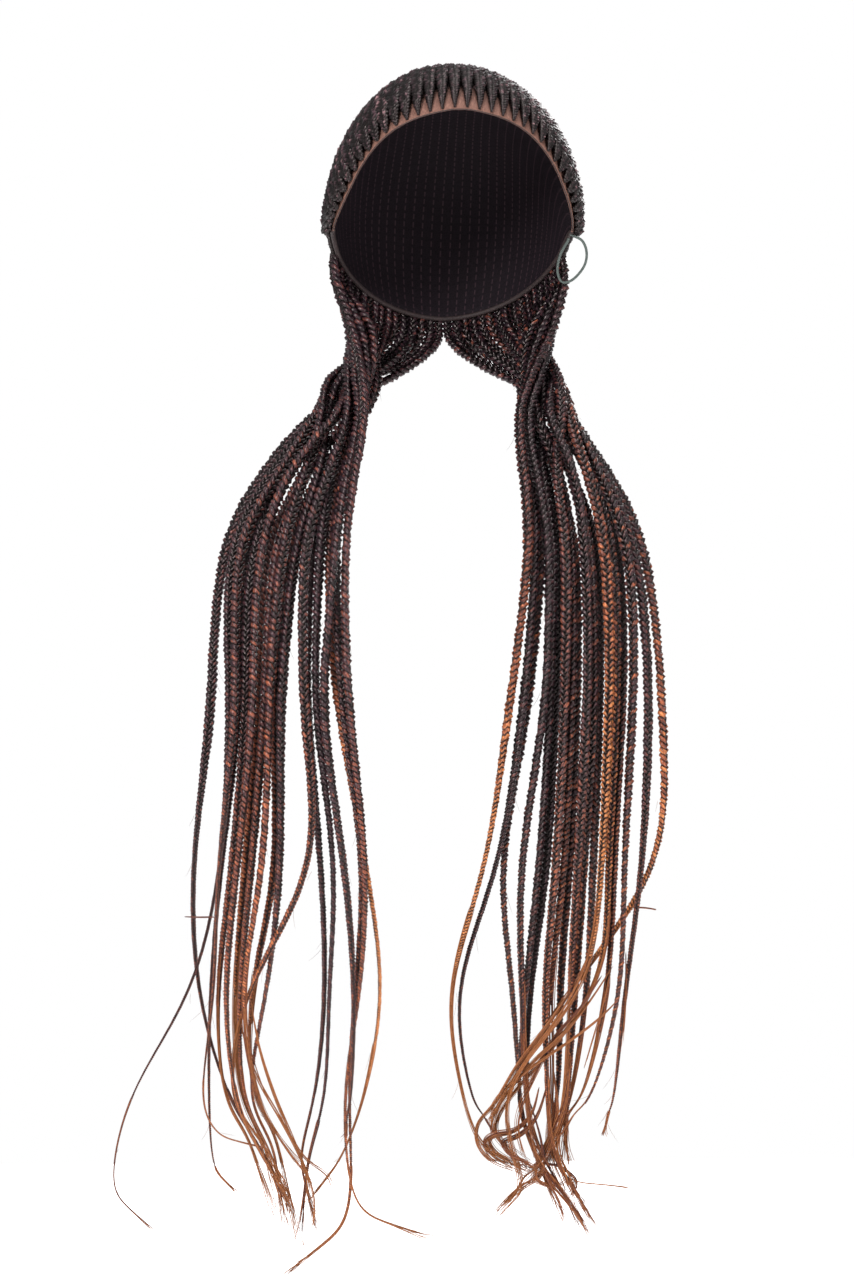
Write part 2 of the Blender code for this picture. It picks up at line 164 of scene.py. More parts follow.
def nape_direction(side):
    share = np.abs(side)[..., None]
    aside = np.copysign(NAPE_BY_EAR[0], side)
    ear = np.stack([aside, 0 * side + NAPE_BY_EAR[1], 0 * side + NAPE_BY_EAR[2]], axis=-1)
    return unit(NAPE_MIDDLE * (1.0 - share**NAPE_ROUNDNESS) + ear * share)


def crown_direction(across):
    lean = np.clip(np.sin(np.pi * across), 0.0, 1.0)
    angle = -CROWN_SIDE_ANGLE + 2 * CROWN_SIDE_ANGLE * across
    angle = np.radians(angle + CROWN_SHIFT * lean * np.clip(1.0 - across, 0.0, 1.0) ** 1.5)
    back = CROWN_BACK_SIDE + (CROWN_BACK_MIDDLE - CROWN_BACK_SIDE) * lean**0.8
    ring = np.sqrt(1.0 - back**2)
    return np.stack([ring * np.sin(angle), back, ring * np.cos(angle)], axis=-1)


def evenly(direction, first, last):
    """An edge's direction at an even share of its length, from left to right."""
    values = np.linspace(first, last, EDGE_SAMPLES)
    steps = np.linalg.norm(np.diff(direction(values) * HEAD_AXES, axis=0), axis=1)
    shares = np.concatenate([[0.0], np.cumsum(steps)]) / steps.sum()
    return lambda across: direction(np.interp(across, shares, values))


hairline_at = evenly(hairline_direction, -HAIRLINE["side_angle"][-1], HAIRLINE["side_angle"][-1])
nape_at = evenly(nape_direction, -1.0, 1.0)


def scalp(across, along, lift=0.0):
    """Points over the cap in millimetres: across the rows, along them from front to nape, and lifted."""
    across, along, lift = np.broadcast_arrays(across, along, lift)
    across, along = across.astype(float), along.astype(float)
    s = along[..., None]
    blend = (
        (1.0 - s) * (1.0 - 2.0 * s) * hairline_at(across)
        + 4.0 * s * (1.0 - s) * crown_direction(across)
        + s * (2.0 * s - 1.0) * nape_at(across)
    )
    direction = unit(blend)
    return HEAD_CENTRE + direction * HEAD_AXES + unit(direction / HEAD_AXES) * lift[..., None]


def colour_of(red, green, blue):
    """A colour as it looks in print, from 0 to 255, in the shader's own scale."""
    tones = (((c / 255 + 0.055) / 1.055) ** 2.4 if c > 10 else c / 3295 for c in (red, green, blue))
    return (*tones, 1.0)


def new_material(name, roughness):
    """A material with its shader, ready for its own nodes."""
    material = bpy.data.materials.new(name)
    material.use_nodes = True
    shader = material.node_tree.nodes["Principled BSDF"]
    shader.inputs["Roughness"].default_value = roughness
    return material, material.node_tree, shader


def ramp_node(tree, stops):
    """A colour ramp with these stops: place, colour."""
    ramp = tree.nodes.new("ShaderNodeValToRGB").color_ramp
    for stop in stops[2:]:
        ramp.elements.new(stop[0])
    for element, (place, colour) in zip(ramp.elements, sorted(stops)):
        element.position = place
        element.color = colour
    return tree.nodes[-1]


def math_node(tree, operation, first, second=0.0):
    """A math node's result, with a socket or a number on each side."""
    node = tree.nodes.new("ShaderNodeMath")
    node.operation = operation
    for socket, value in zip(node.inputs, (first, second)):
        if isinstance(value, (int, float)):
            socket.default_value = value
        else:
            tree.links.new(value, socket)
    return node.outputs["Value"]


THREAD_SHARE = 0.22
THREAD_SHARPNESS = 6.0
net_group = bpy.data.node_groups.new("fine net", "ShaderNodeTree")
net_group.interface.new_socket("Mesh per metre", in_out="INPUT", socket_type="NodeSocketFloat")
net_group.interface.new_socket("Thread", in_out="OUTPUT", socket_type="NodeSocketFloat")
net_in = net_group.nodes.new("NodeGroupInput")
net_out = net_group.nodes.new("NodeGroupOutput")
net_place = net_group.nodes.new("ShaderNodeTexCoord")
net_cells = net_group.nodes.new("ShaderNodeTexVoronoi")
net_cells.feature = "DISTANCE_TO_EDGE"
net_group.links.new(net_place.outputs["Object"], net_cells.inputs["Vector"])
net_group.links.new(net_in.outputs["Mesh per metre"], net_cells.inputs["Scale"])
net_mask = math_node(net_group, "SUBTRACT", THREAD_SHARE, net_cells.outputs["Distance"])
net_mask = math_node(net_group, "MULTIPLY", net_mask, THREAD_SHARPNESS)
net_clamp = net_group.nodes.new("ShaderNodeClamp")
net_group.links.new(net_mask, net_clamp.inputs["Value"])
net_group.links.new(net_clamp.outputs["Result"], net_out.inputs["Thread"])

lace, lace_tree, lace_shader = new_material("brown lace net", 0.8)
lace_net = lace_tree.nodes.new("ShaderNodeGroup")
lace_net.node_tree = net_group
lace_net.inputs["Mesh per metre"].default_value = 850.0
lace_way = lace_tree.nodes.new("ShaderNodeUVMap")
lace_way.uv_map = "over the head"
lace_split = lace_tree.nodes.new("ShaderNodeSeparateXYZ")
lace_tree.links.new(lace_way.outputs["UV"], lace_split.inputs["Vector"])
# The lace is tan along the front strip and dark brown under the rows: partly the knotted roots of the hair
# and partly painted shade in the grooves between rows.
lace_knots_and_shade = ramp_node(
    lace_tree,
    [
        (0.0, colour_of(138, 98, 84)),
        (1.0, colour_of(24, 17, 20)),
        (0.06, colour_of(122, 86, 75)),
        (0.085, colour_of(34, 23, 25)),
    ],
)
lace_tree.links.new(lace_split.outputs["Y"], lace_knots_and_shade.inputs["Fac"])
lace_mix = lace_tree.nodes.new("ShaderNodeMix")
lace_mix.data_type = "RGBA"
lace_mix.blend_type = "MULTIPLY"
lace_mix.inputs["B"].default_value = (0.55, 0.5, 0.5, 1.0)
lace_gaps = math_node(lace_tree, "SUBTRACT", 1.0, lace_net.outputs["Thread"])
lace_tree.links.new(lace_gaps, lace_mix.inputs["Factor"])
lace_tree.links.new(lace_knots_and_shade.outputs["Color"], lace_mix.inputs["A"])
lace_tree.links.new(lace_mix.outputs["Result"], lace_shader.inputs["Base Color"])
lace_bump = lace_tree.nodes.new("ShaderNodeBump")
lace_bump.inputs["Distance"].default_value = 0.0002
lace_tree.links.new(lace_net.outputs["Thread"], lace_bump.inputs["Height"])
lace_tree.links.new(lace_bump.outputs["Normal"], lace_shader.inputs["Normal"])

STITCHES_A_ROW = 70.0
lining, lining_tree, lining_shader = new_material("dark stretch lining", 0.75)
lining_net = lining_tree.nodes.new("ShaderNodeGroup")
lining_net.node_tree = net_group
lining_net.inputs["Mesh per metre"].default_value = 600.0
lining_way = lining_tree.nodes.new("ShaderNodeUVMap")
lining_way.uv_map = "over the head"
lining_split = lining_tree.nodes.new("ShaderNodeSeparateXYZ")
lining_tree.links.new(lining_way.outputs["UV"], lining_split.inputs["Vector"])
row_count = math_node(lining_tree, "MULTIPLY", lining_split.outputs["X"], ROWS)
row_wave = math_node(lining_tree, "PINGPONG", row_count, 0.5)
row_line = math_node(lining_tree, "GREATER_THAN", row_wave, 0.42)
stitch_count = math_node(lining_tree, "MULTIPLY", lining_split.outputs["Y"], STITCHES_A_ROW)
stitch_wave = math_node(lining_tree, "FRACT", stitch_count)
stitch_on = math_node(lining_tree, "GREATER_THAN", stitch_wave, 0.35)
stitch = math_node(lining_tree, "MULTIPLY", row_line, stitch_on)
net_relief = math_node(lining_tree, "MULTIPLY", lining_net.outputs["Thread"], 0.4)
lining_relief = math_node(lining_tree, "ADD", net_relief, stitch)
lining_tone = ramp_node(
    lining_tree,
    [(0.0, colour_of(18, 12, 17)), (1.0, colour_of(52, 38, 44)), (0.4, colour_of(26, 18, 24))],
)
lining_tree.links.new(lining_relief, lining_tone.inputs["Fac"])
lining_tree.links.new(lining_tone.outputs["Color"], lining_shader.inputs["Base Color"])
lining_shader.inputs["Specular IOR Level"].default_value = 0.15
lining_bump = lining_tree.nodes.new("ShaderNodeBump")
lining_bump.inputs["Distance"].default_value = 0.0003
lining_tree.links.new(lining_relief, lining_bump.inputs["Height"])
lining_tree.links.new(lining_bump.outputs["Normal"], lining_shader.inputs["Normal"])

CAP_ACROSS = 90
CAP_ALONG = 60
form = bmesh.new()
form.loops.layers.uv.new("over the head")
bmesh.ops.create_grid(form, x_segments=CAP_ACROSS, y_segments=CAP_ALONG, size=0.5, calc_uvs=True)
flat = np.array([vertex.co for vertex in form.verts])
for vertex, place in zip(form.verts, scalp(flat[:, 0] + 0.5, flat[:, 1] + 0.5)):
    vertex.co = place * MM
bmesh.ops.recalc_face_normals(form, faces=form.faces)
upper = max(form.faces, key=lambda face: face.calc_center_median().z)
if upper.normal.z < 0.0:
    bmesh.ops.reverse_faces(form, faces=form.faces)
cap_mesh = bpy.data.meshes.new("net_cap")
form.to_mesh(cap_mesh)
form.free()
cap_mesh.shade_smooth()
cap_mesh.materials.append(lace)
cap_mesh.materials.append(lining)
net_cap = bpy.data.objects.new("net_cap", cap_mesh)
bpy.context.scene.collection.objects.link(net_cap)
wall = net_cap.modifiers.new("wall", "SOLIDIFY")
wall.thickness = LACE_WALL * MM
wall.offset = 1.0
wall.material_offset = 1
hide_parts("lace_cap")
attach(net_cap, "root")


def carried_facing(points, first):
    """A direction square to the line at each point, carried along it from the first with no twist."""
    along = unit(np.gradient(points, axis=0))
    facing = np.empty_like(points)
    last = np.array(first, float)
    for i, way in enumerate(along):
        last = last - way * (last @ way)
        last /= math.sqrt(last @ last)
        facing[i] = last
    return facing


# How far out a strand counts for its painted shade and highlight when it isn't part of a plait, and
# the widest seam that is closed, in metres.
USUAL_OUTER_PAINTED_LIGHT = 0.87
SEAM = 1e-6


def even_line(points, first_facing, radius, marks):
    """A line of one thickness, for a thread, a tape or a cord."""
    return {
        "points": points,
        "facing": carried_facing(points, first_facing),
        "radii": [radius] * len(points),
        "marks": marks,
    }


def rolled_piece(name, lines, sides, material):
    """A thin sheet rolled round each line into a strand that closes at both ends, all in one piece.

    A line has points, the facing of its rings, radii, marks that the material reads, and if they differ from
    the rest its own sides and flatness.
    """
    form = bmesh.new()
    form.loops.layers.uv.new("around")
    for line in lines:
        own, rings = line.get("sides", sides), len(line["points"])
        bmesh.ops.create_grid(form, x_segments=own, y_segments=rings - 1, size=0.5, calc_uvs=True)
    mesh = bpy.data.meshes.new(name)
    form.to_mesh(mesh)
    form.free()
    flat = np.empty(len(mesh.vertices) * 3, np.float32)
    mesh.vertices.foreach_get("co", flat)
    flat = flat.reshape(-1, 3)
    placed = np.empty_like(flat)
    marks = {mark: np.empty(len(flat), np.float32) for mark in lines[0]["marks"]}
    outer_painted_light = marks["outer_painted_light"] = np.full(len(flat), USUAL_OUTER_PAINTED_LIGHT, np.float32)
    first = 0
    for line in lines:
        points, facing, own = line["points"], line["facing"], line.get("sides", sides)
        last = first + len(points) * (own + 1)
        ring = np.rint((flat[first:last, 1] + 0.5) * (len(points) - 1)).astype(int)
        turn = (np.rint((flat[first:last, 0] + 0.5) * own) % own) * 2 * np.pi / own
        along = unit(np.gradient(points, axis=0))
        side = unit(np.cross(along, facing))
        out = np.cross(side, along)
        radius = np.array(line["radii"], float)
        radius[[0, -1]] = 0.0
        flatness = np.broadcast_to(line.get("flatness", 1.0), len(points))[ring]
        spread = side[ring] * np.cos(turn)[:, None] + out[ring] * (np.sin(turn) * flatness)[:, None]
        spread = points[ring] + spread * radius[ring][:, None]
        placed[first:last] = spread * MM
        # Painted light mark: how far out from the plait's middle each point lies. The material darkens deep
        # points as painted shade in the creases and lightens the outermost as a painted highlight.
        if "middle" in line:
            off = spread - line["middle"][ring]
            sideways = (off * line["across"][ring]).sum(-1)
            outwards = (off * line["through"][ring]).sum(-1)
            outer_painted_light[first:last] = np.hypot(sideways, outwards)
        for mark, values in line["marks"].items():
            marks[mark][first:last] = np.broadcast_to(values, len(points))[ring]
        first = last
    mesh.vertices.foreach_set("co", placed.ravel())
    for mark, values in marks.items():
        mesh.attributes.new(mark, "FLOAT", "POINT").data.foreach_set("value", values)
    form = bmesh.new()
    form.from_mesh(mesh)
    bmesh.ops.remove_doubles(form, verts=form.verts, dist=SEAM)
    bmesh.ops.recalc_face_normals(form, faces=form.faces)
    form.to_mesh(mesh)
    form.free()
    mesh.shade_smooth()
    mesh.materials.append(material)
    piece = bpy.data.objects.new(name, mesh)
    bpy.context.scene.collection.objects.link(piece)
    return piece


thread, thread_tree, thread_shader = new_material("dark edge thread", 0.7)
thread_noise = thread_tree.nodes.new("ShaderNodeTexNoise")
thread_noise.inputs["Scale"].default_value = 900.0
thread_place = thread_tree.nodes.new("ShaderNodeTexCoord")
thread_tree.links.new(thread_place.outputs["Object"], thread_noise.inputs["Vector"])
thread_tone = ramp_node(thread_tree, [(0.3, colour_of(28, 18, 20)), (0.7, colour_of(54, 38, 37))])
thread_tree.links.new(thread_noise.outputs["Fac"], thread_tone.inputs["Fac"])
thread_tree.links.new(thread_tone.outputs["Color"], thread_shader.inputs["Base Color"])

THREAD_RADIUS = 0.38
THREAD_FORWARD = 0.15
edge_points = scalp(np.linspace(0.001, 0.999, 160), 0.0, LACE_WALL * 0.5)
edge_points[:, 1] -= THREAD_FORWARD
edge_line = even_line(edge_points, (0.0, -1.0, 0.3), THREAD_RADIUS, {})
edge_thread = rolled_piece("edge_thread", [edge_line], 6, thread)
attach(edge_thread, "root")

# A dark tape is rolled over the cap's other edges: down past one ear, round the nape and up past the other.
TAPE_HALF_WIDTH = 1.7
ear_way = np.linspace(0.012, 1.0, 60)
tape_points = np.concatenate(
    [
        scalp(0.0, ear_way, LACE_WALL * 0.5),
        scalp(np.linspace(0.0, 1.0, 120)[1:-1], 1.0, LACE_WALL * 0.5),
        scalp(1.0, ear_way[::-1], LACE_WALL * 0.5),
    ]
)
tape_line = even_line(tape_points, (-1.0, 0.0, 0.0), TAPE_HALF_WIDTH, {})
edge_tape = rolled_piece("edge_tape", [tape_line], 8, thread)
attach(edge_tape, "root")

# Cornrows
# Synthetic hair plaited flat in three strands along the cap, in rows from a fine point at the lace edge
# straight back to the nape. Each row is sewn down and runs on into its own hanging braid.

ROW_HEIGHT = 5.4
ROW_LIFT = 4.0
ROW_FILL = 0.47
ROW_TIP = 0.0005
ROW_GROWTH = {
    "grown": (0.0, 0.016, 0.040, 0.062, 0.80, 1.0),
    "share": (0.2, 0.46, 0.8, 1.0, 1.0, 0.9),
}
SIDE_GROWTH = {
    "across": (0.0, 0.2, 0.3, 0.37, 0.43, 0.5, 0.58, 0.68, 0.78, 1.0),
    "share": (0.14, 0.17, 0.26, 0.45, 0.85, 1.0, 0.9, 0.75, 0.4, 0.3),
}
RINGS_A_PERIOD = 7
PLAIT_SIDES = 5
# Shares of a plait's half width or half depth: how far a strand swings and weaves, and how thick it is.
SWING = 0.58
WEAVE = 0.42
STRAND = 0.42

# The fibre streaks vary the hair's tone and brightness; the brightness streaks stand partly for fibres of
# differing tone and partly for painted glints.
FIBRES_AROUND = 9.0
FIBRES_ALONG = 0.42
STRANDS_APART = 97.0
STREAK_TONE = 1.1
STREAK_SHADE = 2.4
fibre_and_shade_group = bpy.data.node_groups.new("hair fibres and painted shade", "ShaderNodeTree")
fibre_and_shade_group.interface.new_socket("Tone streak", in_out="INPUT", socket_type="NodeSocketFloat")
fibre_and_shade_group.interface.new_socket("Shade streak", in_out="INPUT", socket_type="NodeSocketFloat")
fibre_and_shade_group.interface.new_socket("Tone", in_out="OUTPUT", socket_type="NodeSocketFloat")
fibre_and_shade_group.interface.new_socket("Shade", in_out="OUTPUT", socket_type="NodeSocketFloat")
fibre_and_shade_group.interface.new_socket("Height", in_out="OUTPUT", socket_type="NodeSocketFloat")
fibre_in = fibre_and_shade_group.nodes.new("NodeGroupInput")
fibre_out = fibre_and_shade_group.nodes.new("NodeGroupOutput")
fibre_marks = {}
for mark in ("tone", "along", "strand", "outer_painted_light"):
    reader = fibre_and_shade_group.nodes.new("ShaderNodeAttribute")
    reader.attribute_name = mark
    fibre_marks[mark] = reader.outputs["Fac"]
fibre_way = fibre_and_shade_group.nodes.new("ShaderNodeUVMap")
fibre_way.uv_map = "around"
fibre_split = fibre_and_shade_group.nodes.new("ShaderNodeSeparateXYZ")
fibre_and_shade_group.links.new(fibre_way.outputs["UV"], fibre_split.inputs["Vector"])
fibre_place = fibre_and_shade_group.nodes.new("ShaderNodeCombineXYZ")
around = math_node(fibre_and_shade_group, "MULTIPLY", fibre_split.outputs["X"], FIBRES_AROUND)
fibre_and_shade_group.links.new(around, fibre_place.inputs["X"])
length = math_node(fibre_and_shade_group, "MULTIPLY", fibre_marks["along"], FIBRES_ALONG)
fibre_and_shade_group.links.new(length, fibre_place.inputs["Y"])
apart = math_node(fibre_and_shade_group, "MULTIPLY", fibre_marks["strand"], STRANDS_APART)
fibre_and_shade_group.links.new(apart, fibre_place.inputs["Z"])
fibre_noise = fibre_and_shade_group.nodes.new("ShaderNodeTexNoise")
fibre_noise.inputs["Scale"].default_value = 1.0
fibre_noise.inputs["Detail"].default_value = 3.0
fibre_and_shade_group.links.new(fibre_place.outputs["Vector"], fibre_noise.inputs["Vector"])
streak = math_node(fibre_and_shade_group, "SUBTRACT", fibre_noise.outputs["Fac"], 0.5)
streak_tone = math_node(fibre_and_shade_group, "MULTIPLY", streak, fibre_in.outputs["Tone streak"])
tone = math_node(fibre_and_shade_group, "ADD", fibre_marks["tone"], streak_tone)
fibre_and_shade_group.links.new(tone, fibre_out.inputs["Tone"])
streak_shade = math_node(fibre_and_shade_group, "MULTIPLY", streak, fibre_in.outputs["Shade streak"])
shade = math_node(fibre_and_shade_group, "ADD", 1.0, streak_shade)
# Painted shade and highlight: the hair darkens where a strand lies deep in its plait, in the creases between
# strands, and lightens on the strand tops.
painted_crevice_shade = fibre_and_shade_group.nodes.new("ShaderNodeMapRange")
painted_crevice_shade.interpolation_type = "SMOOTHSTEP"
painted_crevice_shade.inputs["From Min"].default_value = 0.7
painted_crevice_shade.inputs["From Max"].default_value = 1.02
painted_crevice_shade.inputs["To Min"].default_value = 0.03
painted_crevice_shade.inputs["To Max"].default_value = 1.7
fibre_and_shade_group.links.new(fibre_marks["outer_painted_light"], painted_crevice_shade.inputs["Value"])
shade = math_node(fibre_and_shade_group, "MULTIPLY", shade, painted_crevice_shade.outputs["Result"])
fibre_and_shade_group.links.new(shade, fibre_out.inputs["Shade"])
fibre_and_shade_group.links.new(fibre_noise.outputs["Fac"], fibre_out.inputs["Height"])


def hair_material(name, stops, roughness):
    """Plaited synthetic hair: fibres run along each strand and differ a little in tone, with painted shade,
    highlight and glints.
    """
    material, tree, shader = new_material(name, roughness)
    fibres = tree.nodes.new("ShaderNodeGroup")
    fibres.node_tree = fibre_and_shade_group
    fibres.inputs["Tone streak"].default_value = STREAK_TONE
    fibres.inputs["Shade streak"].default_value = STREAK_SHADE
    colours = ramp_node(tree, stops)
    tree.links.new(fibres.outputs["Tone"], colours.inputs["Fac"])
    shaded = tree.nodes.new("ShaderNodeVectorMath")
    shaded.operation = "SCALE"
    tree.links.new(colours.outputs["Color"], shaded.inputs["Vector"])
    tree.links.new(fibres.outputs["Shade"], shaded.inputs["Scale"])
    tree.links.new(shaded.outputs["Vector"], shader.inputs["Base Color"])
    bump = tree.nodes.new("ShaderNodeBump")
    bump.inputs["Distance"].default_value = 0.0003
    bump.inputs["Strength"].default_value = 0.8
    tree.links.new(fibres.outputs["Height"], bump.inputs["Height"])
    tree.links.new(bump.outputs["Normal"], shader.inputs["Normal"])
    shader.inputs["Specular IOR Level"].default_value = 0.42
    shader.inputs["Specular Tint"].default_value = (1.0, 0.84, 0.82, 1.0)
    return material


cornrow_hair = hair_material(
    "cornrow hair",
    [(0.0, colour_of(18, 10, 15)), (1.0, colour_of(158, 122, 124)), (0.45, colour_of(62, 43, 49))],
    0.4,
)


def plait(points, facing, half_width, half_depth, period, phase, sideways_share=1.0):
    """Three strands that pass over and under each other along a line: each swings from side to side.

    Across and through measure how near a strand's surface is to the outside of the plait, for the
    painted shade in the creases between strands and the painted highlight on their tops.
    """
    steps = np.linalg.norm(np.diff(points, axis=0), axis=1)
    reach = np.concatenate([[0.0], np.cumsum(steps)])
    turns = np.concatenate([[0.0], np.cumsum(steps * 2.0 / (period[1:] + period[:-1]))])
    turn = np.linspace(0.0, turns[-1], int(turns[-1] * RINGS_A_PERIOD) + 2)
    at = np.interp(turn, turns, reach)
    middle = np.stack([np.interp(at, reach, points[:, axis]) for axis in range(3)], axis=-1)
    facing = np.stack([np.interp(at, reach, facing[:, axis]) for axis in range(3)], axis=-1)
    width = np.interp(at, reach, half_width)
    depth = np.interp(at, reach, half_depth)
    along = unit(np.gradient(middle, axis=0))
    side = unit(np.cross(along, facing))
    out = np.cross(side, along)
    strands = []
    for number in range(3):
        swing = 2 * np.pi * (turn + phase + number / 3)
        sideways = side * (SWING * width * np.sin(swing))[:, None]
        outwards = out * (WEAVE * depth * np.sin(2 * swing))[:, None]
        slow_swell = 0.09 * np.sin(turn * 4.3 + 2.1 * number)
        quick_swell = 0.07 * np.sin(turn * 9.7 + phase * 6.0 + number)
        plump = 1.0 + slow_swell + quick_swell
        strands.append(
            {
                "points": middle + sideways + outwards,
                "facing": out,
                "radii": STRAND * width * plump,
                "flatness": (1.0 - WEAVE) * depth / (STRAND * width),
                "middle": middle,
                "across": side * (sideways_share / width)[:, None],
                "through": out / depth[:, None],
                "at": at,
            }
        )
    return strands


ROW_POINTS = 120
dice = np.random.default_rng(7)
for row in range(ROWS):
    middle = (row + 0.5) / ROWS
    along = np.linspace(ROW_TIP, 1.0, ROW_POINTS)
    slowness = smooth_read(SIDE_GROWTH["across"], SIDE_GROWTH["share"], middle)
    grown = (along - ROW_TIP) / (slowness + (1.0 - slowness) * along)
    share = smooth_read(ROW_GROWTH["grown"], ROW_GROWTH["share"], grown)
    near_side, far_side = (scalp(middle + half / ROWS, along, ROW_LIFT) for half in (-0.5, 0.5))
    pitch = np.linalg.norm(far_side - near_side, axis=-1)
    half_width = ROW_FILL * pitch * share
    half_depth = ROW_HEIGHT / 2 * share**0.7
    lift = LACE_WALL + half_depth
    points = scalp(middle, along, lift)
    facing = scalp(middle, along, lift + 1.0) - points
    period = pitch * (0.6 + 0.5 * share)
    strands = plait(points, facing, half_width, half_depth, period, dice.random(), 0.5)
    row_tone = dice.normal(0.38, 0.05)
    for strand in strands:
        tone = row_tone + dice.normal(0.0, 0.15)
        strand["marks"] = {"tone": tone, "along": strand["at"], "strand": dice.random()}
    plaited_row = rolled_piece(f"plaited_row_{row + 1:02d}", strands, PLAIT_SIDES, cornrow_hair)
    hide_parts(f"cornrow_{row + 1:02d}")
    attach(plaited_row, "root")

# Hanging braids
# Each cornrow runs on as a free braid of three strands of synthetic hair, thinning towards its tip. The
# braids of each side gather at the nape, come forward three abreast, fan out and hang. Their last stretch
# is left unplaited.

# One row for each braid, from the one by the ear to the one at the middle of the nape. The first six values
# are how far out from the wig's middle it hangs at the heights in BRAID_HEIGHTS, the next four where it
# bends and ends. Then come the height that it is plaited down to, how copper it is, from 0, which stays
# dark, to 1, and the share of its usual thickness that it has from the hem down.
BRAID_COLUMNS = (
    "shoulder", "chest", "hem", "low", "thin", "wisp", "bend", "bend_height", "tip", "tip_height",
    "plaited_to", "copper", "slimness",
)
BRAID_HEIGHTS = (-233.0, -315.0, -437.0, -532.0, -614.0, -682.0)
LEFT_BRAIDS = (
    (64, 79, 76, 66, 71, 79, 75, -753, 18, -781, -752, 0.35, 0.85),
    (67, 84, 79, 67, 72, 77, 75, -760, 122, -805, -756, 0.35, 0.85),
    (70, 88, 82, 65, 54, 65, 80, -724, 107, -760, -680, 0.85, 0.72),
    (65, 82, 94, 80, 72, 77, 78, -696, 79, -712, -706, 0.10, 0.85),
    (74, 93, 98, 86, 90, 92, 103, -723, 109, -785, -718, 0.05, 0.82),
    (77, 98, 103, 95, 92, 98, 109, -724, 96, -779, -714, 0.05, 0.82),
    (69, 103, 106, 101, 146, 156, 137, -713, 113, -757, -628, 0.60, 0.78),
    (80, 108, 122, 122, 131, 145, 128, -716, 118, -776, -690, 0.30, 0.90),
    (73, 112, 126, 124, 141, 141, 126, -708, 110, -789, -636, 0.55, 0.95),
    (83, 117, 130, 134, 147, 139, 122, -714, 97, -745, -624, 0.60, 0.95),
    (76, 121, 133, 141, 149, 146, 131, -716, 114, -767, -690, 0.40, 0.90),
    (85, 126, 137, 145, 152, 149, 135, -713, 119, -764, -616, 0.70, 0.95),
    (79, 131, 141, 151, 159, 153, 139, -713, 115, -760, -696, 0.35, 0.90),
    (87, 136, 145, 154, 164, 160, 145, -709, 122, -774, -622, 0.60, 0.90),
    (82, 140, 149, 161, 168, 169, 167, -728, 150, -750, -738, 0.30, 0.60),
    (86, 144, 152, 164, 166, 175, 165, -708, 133, -719, -690, 0.35, 0.45),
    (92, 149, 155, 162, 181, 221, 234, -740, 204, -775, -712, 0.10, 0.45),
    (98, 154, 168, 180, 177, 158, 137, -716, 114, -763, -700, 0.12, 0.62),
)
RIGHT_BRAIDS = (
    (41, 44, 28, 14, -11, -2, 9, -715, 44, -736, -600, 1.00, 0.72),
    (47, 49, 38, 23, -5, 4, 12, -697, 20, -711, -704, 0.10, 0.62),
    (54, 54, 42, 25, 33, 38, 42, -709, 53, -730, -700, 0.10, 0.95),
    (45, 57, 52, 37, 38, 40, 46, -716, 56, -736, -640, 0.35, 0.95),
    (58, 61, 57, 50, 41, 36, 40, -706, 67, -771, -700, 0.25, 1.05),
    (55, 65, 61, 56, 45, 42, 48, -716, 83, -779, -704, 0.15, 1.05),
    (62, 69, 66, 61, 53, 55, 57, -709, 76, -760, -690, 0.30, 1.10),
    (57, 73, 71, 67, 58, 60, 56, -716, 70, -753, -620, 0.50, 1.00),
    (66, 77, 76, 71, 65, 64, 58, -719, 90, -773, -706, 0.15, 1.15),
    (61, 82, 81, 75, 70, 67, 61, -719, 74, -750, -625, 0.45, 1.00),
    (69, 86, 86, 80, 75, 70, 68, -716, 70, -733, -700, 0.30, 1.05),
    (65, 91, 91, 87, 83, 73, 59, -723, 38, -750, -650, 0.40, 1.00),
    (72, 96, 96, 91, 80, 25, 39, -740, 19, -766, -590, 0.95, 0.85),
    (68, 101, 101, 96, 89, 33, 21, -706, 39, -733, -600, 0.95, 0.85),
    (75, 107, 106, 101, 97, 82, 70, -698, 68, -730, -640, 0.60, 0.85),
    (73, 112, 112, 106, 104, 86, 74, -696, 61, -717, -690, 0.20, 0.90),
    (78, 118, 124, 119, 108, 101, 97, -696, 93, -713, -700, 0.30, 0.75),
    (81, 125, 134, 131, 71, 29, 18, -706, 46, -736, -590, 1.00, 0.80),
)
SHOULDER_LINE_AT_NECK = -196.0
SHOULDER_FALL = 0.95
NECK_HALF_WIDTH = 50.0
LIE = {
    "over_shoulder_line": (-400.0, -240.0, -170.0, -110.0, -60.0, -25.0, 0.0, 20.0, 40.0),
    "back": (-93.0, -93.0, -88.0, -76.0, -52.0, -22.0, 4.0, 22.0, 34.0),
}
WAIST_ABREAST = 3
WAIST_OUTER = 66.0
WAIST_PITCH = 6.6
WAIST_RANK_PITCH = 7.6
WAIST_FRONT = 10.0
WAIST_HEIGHT = -176.0
WAIST_DROP = 6.0
ROOT_DROP = 16.0
ROOT_START = 0.5
ROOT_LIFT = 4.1
BRAID_CUTS = (1, 2, 2, 2, 2, 1, 1, 1, 1, 2)
BRAID_RADII = (2.3, 2.5, 2.8, 3.1, 3.2, 3.0, 2.4, 1.6, 1.1, 0.8, 0.7)
BRAID_CLEARANCE = 0.8
SETTLING_ROUNDS = 500
SETTLING_EASE = np.array([0.3, 1.0, 0.12])
SETTLING_SHARE = 0.2
SETTLING_MOST = 1.5
SETTLED = 0.02
NEAR = 6.0
NEAR_LENGTHS = 3


def lie_back(out, height):
    """How far back a braid lies at this distance out from the middle and this height."""
    line = SHOULDER_LINE_AT_NECK - SHOULDER_FALL * (abs(out) - NECK_HALF_WIDTH)
    return float(smooth_read(LIE["over_shoulder_line"], LIE["back"], height - line))


